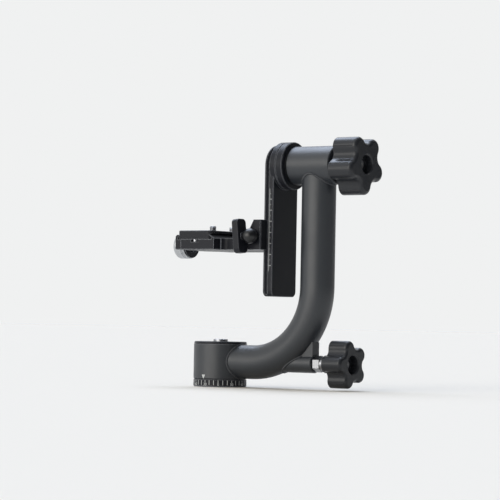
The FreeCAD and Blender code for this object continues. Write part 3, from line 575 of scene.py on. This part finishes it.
def clamp_knob():
    """Pale turned knob: dished outer face, rounded rim and two fine grooves near its collar."""
    dish_x = KNOB_OUTER + KNOB_DISH_DEPTH
    rows = [(KNOB_CENTRE_R, dish_x), (KNOB_DISH_R, dish_x), (KNOB_DISH_R + 0.5, dish_x - 0.5),
            (KNOB_DISH_R + 0.7, KNOB_OUTER + 0.1)]
    for t in [math.radians(9 * k) for k in range(11)]:
        rows.append((KNOB_RIM_R - KNOB_BEND + KNOB_BEND * math.sin(t),
                     KNOB_OUTER + KNOB_BEND - KNOB_BEND * math.cos(t)))
    floor_r = KNOB_RIM_R - KNOB_GROOVE_DEPTH
    for level in KNOB_GROOVES:
        rows += [(KNOB_RIM_R, level - KNOB_GROOVE_HALF), (floor_r, level - KNOB_GROOVE_FLOOR_HALF),
                 (floor_r, level + KNOB_GROOVE_FLOOR_HALF), (KNOB_RIM_R, level + KNOB_GROOVE_HALF)]
    rows += [(KNOB_RIM_R, KNOB_INNER - 0.8), (KNOB_RIM_R - 0.3, KNOB_INNER - 0.2),
             (KNOB_RIM_R - 0.9, KNOB_INNER), (KNOB_BACK_R, KNOB_INNER)]
    built = turned_shape(rows, 96, (0.0, 0.0, KNOB_Z), "x")
    piece = finish_mesh(built, "turned_clamp_knob", MATERIALS["pale_aluminium"], "plate_knob")
    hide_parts("clamp_knob")


MARKS = mark_tree()
dial_marks(MARKS)
dial_numbers()
pointer()
rail_scale(MARKS)
weld_beads()
lens_screws()
clamp_knob()


# Floor and room colours and levels
FLOOR_R = 60.0
FLOOR_SEEN = "#F2E9DB"
FLOOR_DULL = "#B5B3AE"
WALL_LOW = 0.05
FILL_LOW = 0.04
FILL_HIGH = 0.7


# Camera, fitted to the head's outline in the photograph: angles in degrees, places in metres
CAMERA_TURN = 36.2587
CAMERA_TIP = -1.6322
CAMERA_ROLL = 1.0910
CAMERA_AWAY = 2.4
CAMERA_AIM = (0.060, 0.0, 0.110)
CAMERA_LEFT = 0.022621
CAMERA_RAISED = 0.015986
FOCAL_PX = 2636.69
FRAME_PX = 500
SENSOR = 36.0


def place_camera():
    """Camera at the photograph's viewing angle."""
    turn = math.radians(CAMERA_TURN)
    tip = math.radians(CAMERA_TIP)
    roll = math.radians(CAMERA_ROLL)
    back = Vector((math.sin(turn) * math.cos(tip), -math.cos(turn) * math.cos(tip), math.sin(tip)))
    level = Vector((math.cos(turn), math.sin(turn), 0.0))
    above = back.cross(level)
    right = math.cos(roll) * level + math.sin(roll) * above
    up = math.cos(roll) * above - math.sin(roll) * level
    spot = Vector(CAMERA_AIM) + back * CAMERA_AWAY - right * CAMERA_LEFT + up * CAMERA_RAISED
    camera = bpy.data.objects.new("camera", bpy.data.cameras.new("camera"))
    bpy.context.scene.collection.objects.link(camera)
    camera.matrix_world = Matrix((
        (right.x, up.x, back.x, spot.x), (right.y, up.y, back.y, spot.y),
        (right.z, up.z, back.z, spot.z), (0.0, 0.0, 0.0, 1.0)))
    camera.data.sensor_width = SENSOR
    camera.data.lens = FOCAL_PX / FRAME_PX * SENSOR
    camera.data.clip_start = 0.1
    camera.data.clip_end = 50.0
    bpy.context.scene.camera = camera


def seen_directly(tree):
    """1 for rays that show a surface itself: from the camera, in a reflection or through glass."""
    rays = add(tree, "ShaderNodeLightPath")
    mirrored = add(tree, "ShaderNodeMath",
                   [(0, rays.outputs["Is Camera Ray"]), (1, rays.outputs["Is Glossy Ray"])],
                   operation="MAXIMUM")
    return add(tree, "ShaderNodeMath", [(0, mirrored.outputs[0]), (1, rays.outputs["Is Transmission Ray"])],
               operation="MAXIMUM").outputs[0]


def floor():
    """Plain pale floor, wide enough for its far edge to meet the background at the horizon.
    It sends less light back up than it shows, so the undersides stay dark."""
    mat, tree = new_material("floor_paper")
    pale = add(tree, "ShaderNodeBsdfDiffuse", Color=linear(FLOOR_SEEN))
    dull = add(tree, "ShaderNodeBsdfDiffuse", Color=linear(FLOOR_DULL))
    both = add(tree, "ShaderNodeMixShader",
               [(0, seen_directly(tree)), (1, dull.outputs[0]), (2, pale.outputs[0])])
    close_material(tree, both)
    built = bmesh.new()
    bmesh.ops.create_circle(built, cap_ends=True, segments=96, radius=FLOOR_R)
    mesh = bpy.data.meshes.new("floor")
    built.to_mesh(mesh)
    built.free()
    mesh.materials.append(mat)
    obj = bpy.data.objects.new("floor", mesh)
    bpy.context.scene.collection.objects.link(obj)


def room_level(tree, toward, start, stop, low, high):
    """Brightness of the room by direction: high towards one side, low away from it."""
    way = add(tree, "ShaderNodeTexCoord")
    side = add(tree, "ShaderNodeVectorMath", [(0, way.outputs["Generated"])], operation="DOT_PRODUCT")
    side.inputs[1].default_value = toward
    return add(tree, "ShaderNodeMapRange", [("Value", side.outputs["Value"])],
               interpolation_type="SMOOTHSTEP", From_Min=start, From_Max=stop, To_Min=low,
               To_Max=high).outputs["Result"]


def studio_world():
    """Pale room as the camera sees it. Towards the object's right it is darker in reflections
    and gives less fill light."""
    world = bpy.data.worlds.new("studio")
    world.use_nodes = True
    tree = world.node_tree
    tree.nodes.clear()
    rays = add(tree, "ShaderNodeLightPath")
    shaded = room_level(tree, (-0.90, 0.0, 0.44), -0.30, 0.36, WALL_LOW, 1.0)
    wall = add(tree, "ShaderNodeMath", [(0, shaded), (1, rays.outputs["Is Camera Ray"])],
               operation="MAXIMUM").outputs[0]
    fill = room_level(tree, (-0.40, -0.70, 0.59), -0.30, 0.95, FILL_LOW, FILL_HIGH)
    seen = add(tree, "ShaderNodeBackground", [("Strength", wall)], Color=linear("#F0F1F1"))
    room = add(tree, "ShaderNodeBackground", [("Strength", fill)], Color=linear("#E2E9F0"))
    both = add(tree, "ShaderNodeMixShader",
               [(0, seen_directly(tree)), (1, room.outputs[0]), (2, seen.outputs[0])])
    add(tree, "ShaderNodeOutputWorld", [("Surface", both.outputs[0])])
    bpy.context.scene.world = world


def wide_light(name, toward, strength, spread_deg, colour="#FFFFFF"):
    """Very soft light from far off; toward points from the object to the light."""
    data = bpy.data.lights.new(name, "SUN")
    data.energy = strength
    data.angle = math.radians(spread_deg)
    data.color = linear(colour)[:3]
    obj = bpy.data.objects.new(name, data)
    bpy.context.scene.collection.objects.link(obj)
    obj.rotation_mode = "QUATERNION"
    obj.rotation_quaternion = Vector(toward).to_track_quat("Z", "Y")


place_camera()
floor()
studio_world()
wide_light("front_light", (-0.16, -1.0, 0.14), 2.2, 56, "#FFFBF4")
wide_light("sky_light", (-0.36, 0.30, 0.90), 2.7, 50, "#D9E7FF")
bpy.context.scene.view_settings.view_transform = "Standard"
